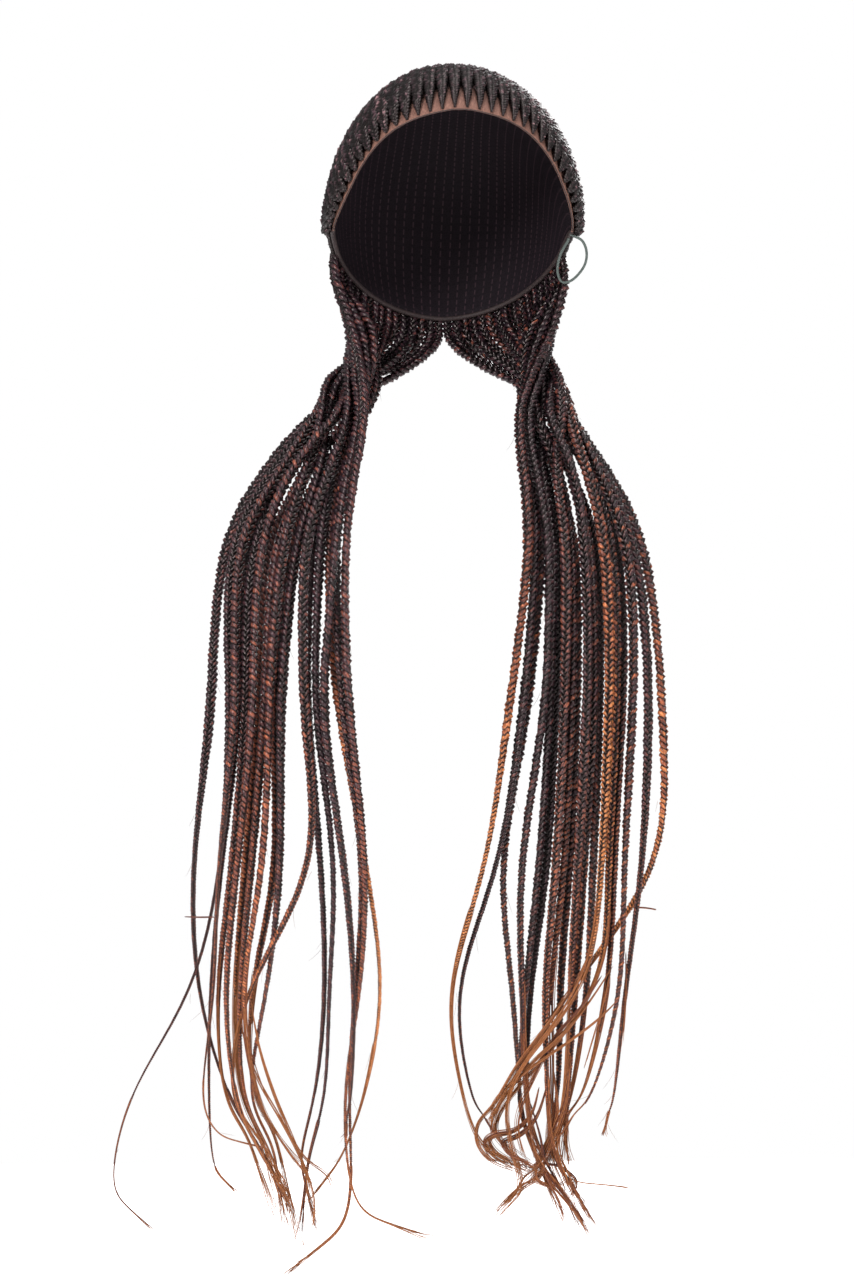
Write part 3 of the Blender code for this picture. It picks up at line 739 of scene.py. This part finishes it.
def braid_keys(side, number, place):
    """The places that a braid passes: its root at the nape, the fall's waist, and those of its table row."""
    row = number if side < 0 else ROWS - 1 - number
    middle = (row + 0.5) / ROWS
    root = scalp(middle, 1.0, ROOT_LIFT)
    near_side, far_side = (scalp(middle + part / ROWS, 1.0, ROOT_LIFT) for part in (-0.3, 0.3))
    edge = far_side - near_side
    onward = unit(np.cross(edge, scalp(middle, 1.0, ROOT_LIFT + 1.0) - root))
    if onward @ (root - scalp(middle, 0.89, ROOT_LIFT)) < 0.0:
        onward = -onward
    rank, abreast = divmod(number, WAIST_ABREAST)
    waist = (
        side * (WAIST_OUTER - WAIST_PITCH * abreast),
        WAIST_FRONT + rank * WAIST_RANK_PITCH,
        WAIST_HEIGHT - rank * WAIST_DROP,
    )
    keys = [root + onward * ROOT_START, root + onward * ROOT_DROP, np.array(waist)]
    layer = (abreast - 1) * WAIST_PITCH
    stops = [(place[name], height) for name, height in zip(BRAID_COLUMNS, BRAID_HEIGHTS)]
    stops += [(place["bend"], place["bend_height"]), (place["tip"], place["tip_height"])]
    return keys + [np.array([side * out, lie_back(out, height) + layer, height]) for out, height in stops]


def through(keys, cuts):
    """Points on a smooth curve through the keys, with each stretch cut into its number of lengths."""
    ends = [2 * keys[0] - keys[1], *keys, 2 * keys[-1] - keys[-2]]
    points = [keys[0]]
    for i, count in enumerate(cuts):
        a, b, c, d = ends[i : i + 4]
        for step in range(1, count + 1):
            t = step / count
            square, cube = 2 * a - 5 * b + 4 * c - d, 3 * b - a - 3 * c + d
            points.append(0.5 * (2 * b + (c - a) * t + square * t**2 + cube * t**3))
    return np.array(points)


def near_stretches(routes):
    """Pairs of lengths of two different braids that lie near each other."""
    count, points, _ = routes.shape
    braid, length = (index.ravel() for index in np.indices((count, points - 1)))
    ends = np.diff(routes, axis=1).reshape(-1, 3)
    middles = ((routes[:, 1:] + routes[:, :-1]) / 2).reshape(-1, 3)
    reach = np.linalg.norm(ends, axis=1) / 2 + NEAR
    apart = np.linalg.norm(middles[:, None] - middles[None], axis=-1)
    near = (apart < reach[:, None] + reach[None]) & (braid[:, None] < braid[None])
    near &= np.abs(length[:, None] - length[None]) <= NEAR_LENGTHS
    first, second = np.nonzero(near)
    return braid[first], length[first], braid[second], length[second]


def settle(routes, radii):
    """Moves braids that would pass through each other apart, mostly to the front and back."""
    hold = np.ones(routes.shape[1])
    hold[:2] = 0.0
    hold[2] = 0.5
    for turn in range(SETTLING_ROUNDS):
        if turn % 10 == 0:
            i, m, j, n = near_stretches(routes)
        push = np.zeros_like(routes)
        p1, p2 = routes[i, m], routes[j, n]
        d1, d2 = routes[i, m + 1] - p1, routes[j, n + 1] - p2
        gap = p1 - p2
        a, e = (d1 * d1).sum(-1), (d2 * d2).sum(-1)
        b, c, f = (d1 * d2).sum(-1), (d1 * gap).sum(-1), (d2 * gap).sum(-1)
        crossing = np.clip((b * f - c * e) / np.maximum(a * e - b * b, 1e-6), 0.0, 1.0)
        for at in (crossing, *(np.full_like(crossing, share) for share in (0.0, 0.25, 0.5, 0.75, 1.0))):
            t = np.clip((b * at + f) / e, 0.0, 1.0)
            apart = gap + at[:, None] * d1 - t[:, None] * d2
            r1 = radii[m] + (radii[m + 1] - radii[m]) * at
            r2 = radii[n] + (radii[n + 1] - radii[n]) * t
            short = np.clip(r1 + r2 + BRAID_CLEARANCE - np.linalg.norm(apart, axis=-1), 0.0, None)
            way = apart * SETTLING_EASE
            move = SETTLING_SHARE * short / np.maximum(np.linalg.norm(way, axis=-1), 1e-3)
            move = way * move[:, None]
            np.add.at(push, (i, m), move * (1.0 - at)[:, None])
            np.add.at(push, (i, m + 1), move * at[:, None])
            np.add.at(push, (j, n), -move * (1.0 - t)[:, None])
            np.add.at(push, (j, n + 1), -move * t[:, None])
        push *= hold[None, :, None]
        size = np.linalg.norm(push, axis=-1, keepdims=True)
        routes = routes + push / np.maximum(size, 1e-9) * np.minimum(size, SETTLING_MOST)
        if size.max() < SETTLED:
            break
    return routes


cut_radii = [BRAID_RADII[0]]
for i, count in enumerate(BRAID_CUTS):
    for step in range(1, count + 1):
        cut_radii.append(BRAID_RADII[i] + (BRAID_RADII[i + 1] - BRAID_RADII[i]) * step / count)
cut_radii = np.array(cut_radii)
places = [
    (side, number, dict(zip(BRAID_COLUMNS, sizes)))
    for side, table in ((-1, LEFT_BRAIDS), (1, RIGHT_BRAIDS))
    for number, sizes in enumerate(table)
]
routes = settle(np.array([through(braid_keys(*place), BRAID_CUTS) for place in places]), cut_radii)

hanging_hair = hair_material(
    "hanging hair",
    [
        (0.0, colour_of(22, 14, 19)),
        (1.0, colour_of(150, 92, 52)),
        (0.22, colour_of(47, 28, 32)),
        (0.45, colour_of(84, 44, 34)),
        (0.7, colour_of(120, 64, 40)),
    ],
    0.36,
)

FINE_CUTS = 12
FINE_ROUNDS = 30
ROOT_SUNK = 6.0
LEAST_PLAITED = 300.0
EASE_LENGTH = 40.0
FULLNESS = {
    "height": (-614.0, -532.0, -437.0, -210.0, -160.0),
    "share": (1.5, 1.36, 1.24, 1.3, 1.7),
}
SLIM_FROM = -437.0
SLIM_OVER = 90.0
BRAID_DEPTH = 0.85
PERIOD_SHARE = 3.3
PERIOD_LEAST = 4.2
LOOSE_HAIRS = 16
LOOSE_HAIR_RADIUS = 0.36
LOOSE_SIDES = 3
LOOSE_START = 6
LOOSE_WIDTH = 1.3
LOOSE_FRAYING = 3.2
LOOSE_COPPER = 0.25
# How far below the crown the copper starts at the earliest, how much lower it starts in a dark braid, and
# over what length it comes in. Then where the darkest part of the roots ends, and over what length it fades.
COPPER_FROM = 285.0
COPPER_LATER = 215.0
COPPER_OVER = 420.0
ROOTS_TO = 120.0
ROOTS_OVER = 220.0
dice = np.random.default_rng(11)


def tone_at(height, copper):
    """How far the dye has gone from dark to copper at this height."""
    start = COPPER_FROM + COPPER_LATER * (1.0 - copper)
    dark = (0.12 + 0.12 * copper) * np.clip((-height - ROOTS_TO) / ROOTS_OVER, 0.2, 1.0)
    return np.clip((-height - start) / COPPER_OVER, 0.0, 1.0) * (0.42 + 0.72 * copper) + dark


def distances(points):
    """How far along a line each of its points is."""
    return np.concatenate([[0.0], np.cumsum(np.linalg.norm(np.diff(points, axis=0), axis=1))])


def smoothed(points, rounds):
    """The line with its bends eased, its ends left in place."""
    for _ in range(rounds):
        points[1:-1] = (points[:-2] + 2.0 * points[1:-1] + points[2:]) / 4.0
    return points


def drift(steps, shortest, longest):
    """A slow wave along a line, its length and its start drawn."""
    return np.sin(steps / dice.uniform(shortest, longest) + dice.uniform(0.0, 6.0))


def loose_lock(points, half_width, hairs, copper, shift, fraying):
    """Loose hairs that lie side by side in a flat lock, which turns as it runs and frays towards its end."""
    steps = distances(points)
    share = steps / steps[-1]
    facing = carried_facing(points, (0.1, -1.0, 0.1))
    aside = np.cross(unit(np.gradient(points, axis=0)), facing)
    ribbon = dice.uniform(-0.6, 0.6) + 0.8 * drift(steps, 35.0, 60.0)
    lock = []
    streaks = dice.uniform(0.0, 6.0)
    for _ in range(hairs):
        wave = dice.uniform(0.0, 6.0) + steps / dice.uniform(14.0, 45.0)
        seat = dice.uniform(-1.0, 1.0)
        wide = half_width * (seat + 0.22 * np.sin(wave)) + dice.normal(0.0, fraying) * share**5
        layer = dice.uniform(-0.35, 0.35)
        deep = half_width * (layer + 0.1 * np.cos(wave)) + dice.normal(0.0, fraying) * share**5
        off = wide * np.cos(ribbon) - deep * np.sin(ribbon)
        up = wide * np.sin(ribbon) + deep * np.cos(ribbon)
        line = points + aside * off[:, None] + facing * up[:, None]
        end = max(len(line) - int(dice.uniform(0.0, 0.2) * len(line)), 3)
        tone = tone_at(line[:, 2], copper) + shift
        tone = tone + 0.22 * math.sin(streaks + 5.0 * seat) + dice.normal(0.0, 0.12)
        lock.append(
            {
                "points": line[:end],
                "facing": facing[:end],
                "radii": LOOSE_HAIR_RADIUS * (1.0 - 0.5 * share[:end]),
                "sides": LOOSE_SIDES,
                "marks": {"tone": tone[:end], "along": steps[:end], "strand": dice.random()},
            }
        )
    return lock


def braid_strands(side, number, place):
    """The strands of one hanging braid: its plait, and the loose ends that come out of it."""
    coarse = routes[number if side < 0 else ROWS // 2 + number]
    points = smoothed(through(list(coarse), (FINE_CUTS,) * (len(coarse) - 1)), FINE_ROUNDS)
    radii = np.interp(np.arange(len(points)) / FINE_CUTS, np.arange(len(coarse)), cut_radii)
    points = np.concatenate([[points[0] - unit(points[1] - points[0]) * ROOT_SUNK], points])
    radii = np.concatenate([radii[:1], radii])
    steps = distances(points)
    facing = carried_facing(points, points[0] - HEAD_CENTRE)
    twist = dice.uniform(-0.7, 0.7) + 0.5 * drift(steps, 70.0, 120.0)
    aside = np.cross(unit(np.gradient(points, axis=0)), facing)
    facing = facing * np.cos(twist)[:, None] + aside * np.sin(twist)[:, None]
    shift = dice.normal(0.0, 0.04)
    last = int(np.argmax((points[:, 2] < place["plaited_to"]) & (steps > LEAST_PLAITED)))
    last = last if last > 0 else len(points) - 4
    ease = np.clip((steps[last] - steps[: last + 1]) / EASE_LENGTH, 0.0, 1.0)
    height = points[: last + 1, 2]
    fullness = np.interp(height, FULLNESS["height"], FULLNESS["share"])
    slim = 1.0 - (1.0 - place["slimness"]) * np.clip((SLIM_FROM - height) / SLIM_OVER, 0.0, 1.0)
    half_width = slim * fullness * radii[: last + 1] * (0.75 + 0.25 * ease)
    half_width *= 1.0 + 0.05 * np.sin(steps[: last + 1] / 23.0 + dice.uniform(0.0, 6.0))
    half_depth = BRAID_DEPTH * half_width
    period = np.maximum(PERIOD_SHARE * half_width, PERIOD_LEAST)
    strands = plait(points[: last + 1], facing[: last + 1], half_width, half_depth, period, dice.random())
    for strand in strands:
        tone = tone_at(strand["points"][:, 2], place["copper"]) + shift + dice.normal(0.0, 0.12)
        strand["marks"] = {"tone": tone, "along": strand["at"], "strand": dice.random()}
    first = max(last - LOOSE_START, 0)
    wide = LOOSE_WIDTH * place["slimness"] * radii[first:]
    fraying = LOOSE_FRAYING * place["slimness"] ** 2
    copper = min(place["copper"] + LOOSE_COPPER, 1.0)
    return strands + loose_lock(points[first:], wide, LOOSE_HAIRS, copper, shift, fraying)


for pair in range(0, ROWS, 2):
    side_name = "left" if places[pair][0] < 0 else "right"
    number = places[pair][1] // 2 + 1
    strands = [strand for place in places[pair : pair + 2] for strand in braid_strands(*place)]
    hanging = rolled_piece(f"{side_name}_plaits_{number:02d}", strands, PLAIT_SIDES, hanging_hair)
    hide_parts(f"{side_name}_braids_{number:02d}")
    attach(hanging, "root")

# Tangled locks
# Loose synthetic hair of the lower ends that has come out of its braids: loops and a small knot on the
# wearer's left, thin locks that cross the falls, and two short wisps that stand out sideways.

# how wide the lock is, its hairs, how copper, then the places that it passes: out from the middle, height
LOCKS = (
    (1.7, 16, 0.8, (86, -587), (72, -614), (58, -634), (45, -651), (33, -668), (20, -690), (9, -703),
     (8, -716), (16, -727), (29, -733), (42, -736)),
    (1.4, 14, 0.9, (100, -600), (84, -622), (66, -644), (48, -660), (34, -676), (22, -692), (14, -704)),
    (1.2, 12, 1.0, (104, -622), (88, -636), (66, -652), (45, -666), (28, -680), (18, -694), (20, -712)),
    (1.5, 14, 0.7, (92, -606), (76, -628), (60, -646), (48, -668), (38, -690), (34, -708), (40, -728)),
    (3.6, 34, 0.7, (50, -680), (45, -698), (33, -709), (20, -711), (15, -716), (20, -724), (30, -730),
     (46, -737)),
    (2.4, 22, 0.5, (56, -676), (48, -700), (36, -712), (26, -716), (30, -724), (44, -731), (54, -739)),
    (2.0, 18, 0.5, (60, -668), (62, -694), (58, -712), (50, -728), (46, -740), (60, -746), (70, -740)),
    (2.2, 20, 0.6, (72, -656), (69, -673), (67, -690), (61, -707), (53, -727), (44, -734), (38, -728)),
    (1.8, 16, 0.4, (44, -690), (50, -712), (54, -730), (62, -732), (72, -739), (74, -746), (68, -753)),
    (1.6, 16, 0.6, (54, -728), (50, -739), (42, -744), (31, -752), (18, -767)),
    (1.1, 10, 0.7, (56, -722), (48, -733), (40, -740), (34, -750), (26, -758)),
    (1.4, 12, 0.5, (50, -726), (55, -741), (62, -754), (68, -773)),
    (2.6, 24, 0.4, (46, -722), (54, -737), (65, -751), (75, -764), (84, -780)),
    (1.3, 12, 0.5, (60, -728), (70, -742), (81, -762), (90, -776)),
    (0.6, 6, 0.9, (66, -738), (76, -743), (93, -745), (114, -747)),
    (0.5, 5, 0.8, (108, -590), (108, -612), (107, -634), (105, -656)),
    (0.6, 6, 1.0, (98, -604), (93, -624), (86, -646), (79, -668)),
    (1.2, 12, 0.9, (-142, -620), (-136, -655), (-124, -690), (-112, -718), (-104, -742), (-108, -762)),
    (1.1, 12, 0.8, (-150, -630), (-140, -668), (-122, -700), (-108, -727), (-100, -752), (-101, -776)),
    (1.0, 10, 0.7, (-146, -640), (-133, -682), (-118, -706), (-106, -726), (-90, -738), (-88, -752)),
    (0.5, 6, 0.6, (-186, -566), (-175, -566), (-164, -566)),
    (0.5, 6, 0.6, (112, -561), (120, -561), (129, -562)),
)
LOCK_BACK = -99.0
LOCK_START_BACK = 7.0
LOCK_CUTS = 9
LOCK_ROUNDS = 8
LOCK_FRAYING = 0.7
tangle = []
for wide, hairs, copper, *stops in LOCKS:
    keys = [np.array([out, LOCK_BACK + dice.uniform(-4.0, 4.0), height]) for out, height in stops]
    keys[0][1] += LOCK_START_BACK
    points = smoothed(through(keys, (LOCK_CUTS,) * (len(keys) - 1)), LOCK_ROUNDS)
    narrow = wide * np.sin(np.linspace(0.06, 2.75, len(points)))
    tangle += loose_lock(points, narrow, hairs, copper, 0.0, LOCK_FRAYING * wide)
tangled_locks = rolled_piece("tangled_locks", tangle, LOOSE_SIDES, hanging_hair)
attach(tangled_locks, "root")

# Stray hairs
# Short single hairs, about a fifth of a millimetre thick, that have worked loose and stand out of the
# cornrows and the braids all over.

STRAY_RADIUS = 0.1
STRAY_SIDES = 3
CAP_STRAYS = 260
CAP_STRAY_TONE = 0.7
BRAID_STRAYS = 9


def stray_hair(start, way, out, length, tone):
    """One short hair that leaves its plait, bows out and bends back."""
    share = np.linspace(0.0, 1.0, 6)
    bow = np.cross(way, out) * dice.normal(0.0, 0.35)
    rise = out * dice.uniform(0.15, 0.5) + bow
    line = start + length * (way * share[:, None] + rise * (share**1.5)[:, None])
    return {
        "points": line,
        "facing": carried_facing(line, out),
        "radii": STRAY_RADIUS * (1.2 - 0.6 * share),
        "marks": {"tone": tone, "along": share * length, "strand": dice.random()},
    }


strays = []
for _ in range(CAP_STRAYS):
    across, along = dice.uniform(0.01, 0.99), dice.uniform(0.03, 0.98)
    start = scalp(across, along, LACE_WALL + ROW_HEIGHT * 0.8)
    out = unit(scalp(across, along, LACE_WALL + ROW_HEIGHT) - start)
    onward = unit(scalp(across, along + 0.01, LACE_WALL + ROW_HEIGHT * 0.8) - start)
    turn = dice.normal(0.0, 0.7)
    way = onward * math.cos(turn) + np.cross(onward, out) * math.sin(turn)
    strays.append(stray_hair(start, way, out, dice.uniform(3.0, 8.0), CAP_STRAY_TONE))
cap_strays = rolled_piece("cap_strays", strays, STRAY_SIDES, cornrow_hair)
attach(cap_strays, "root")

strays = []
for place, route in zip(places, routes):
    for _ in range(BRAID_STRAYS):
        at = dice.integers(3, len(route) - 2)
        start = route[at] + (route[at + 1] - route[at]) * dice.random()
        way = unit(route[at + 1] - route[at])
        around_it = unit(np.cross(way, dice.normal(0.0, 1.0, 3)))
        tone = tone_at(start[2], place[2]["copper"]) + 0.2
        foot = start + around_it * cut_radii[at]
        strays.append(stray_hair(foot, way, around_it, dice.uniform(6.0, 16.0), tone))
braid_strays = rolled_piece("braid_strays", strays, STRAY_SIDES, hanging_hair)
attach(braid_strays, "root")

# Elastic loop
# A thin grey-green cord of covered elastic, sewn at both ends to the cap's edge over the wearer's left ear.
# It holds the cap's corner down behind the ear.

ELASTIC_RADIUS = 0.9
ELASTIC_SEATS = (0.035, 0.52)
ELASTIC_GAP = 0.7
ELASTIC_STRAIGHT = 3.0
ELASTIC_CUTS = 8
ELASTIC_WEAVE = 1.5
ELASTIC = (
    (88.5, -2.5, -111.0),
    (92.0, 2.0, -119.0),
    (90.5, 6.0, -128.0),
    (83.5, 11.0, -136.5),
    (76.5, 15.5, -138.0),
    (73.5, 17.0, -130.0),
    (75.5, 16.0, -119.0),
)
elastic_ends = []
for along in ELASTIC_SEATS:
    seat = scalp(1.0, along, LACE_WALL / 2)
    below = unit(seat - scalp(1.0 - 0.5 / ROWS, along, LACE_WALL / 2))
    elastic_ends.append([seat + below * ELASTIC_GAP, seat + below * ELASTIC_STRAIGHT])
elastic_keys = [*elastic_ends[0], *(np.array(point) for point in ELASTIC), *elastic_ends[1][::-1]]
elastic_points = through(elastic_keys, (ELASTIC_CUTS,) * (len(elastic_keys) - 1))
elastic_marks = {"along": np.arange(len(elastic_points)) * ELASTIC_WEAVE}
elastic_line = even_line(elastic_points, (0.0, -1.0, 0.0), ELASTIC_RADIUS, elastic_marks)
elastic, elastic_tree, elastic_shader = new_material("grey-green elastic", 0.65)
elastic_reader = elastic_tree.nodes.new("ShaderNodeAttribute")
elastic_reader.attribute_name = "along"
elastic_turn = math_node(elastic_tree, "MULTIPLY", elastic_reader.outputs["Fac"], 6.0)
elastic_wave = math_node(elastic_tree, "SINE", elastic_turn)
elastic_tone = ramp_node(elastic_tree, [(0.0, colour_of(52, 60, 58)), (1.0, colour_of(104, 114, 108))])
elastic_tree.links.new(elastic_wave, elastic_tone.inputs["Fac"])
elastic_tree.links.new(elastic_tone.outputs["Color"], elastic_shader.inputs["Base Color"])
elastic_cord = rolled_piece("elastic_cord", [elastic_line], 10, elastic)
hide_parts("elastic_loop")
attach(elastic_cord, "root")
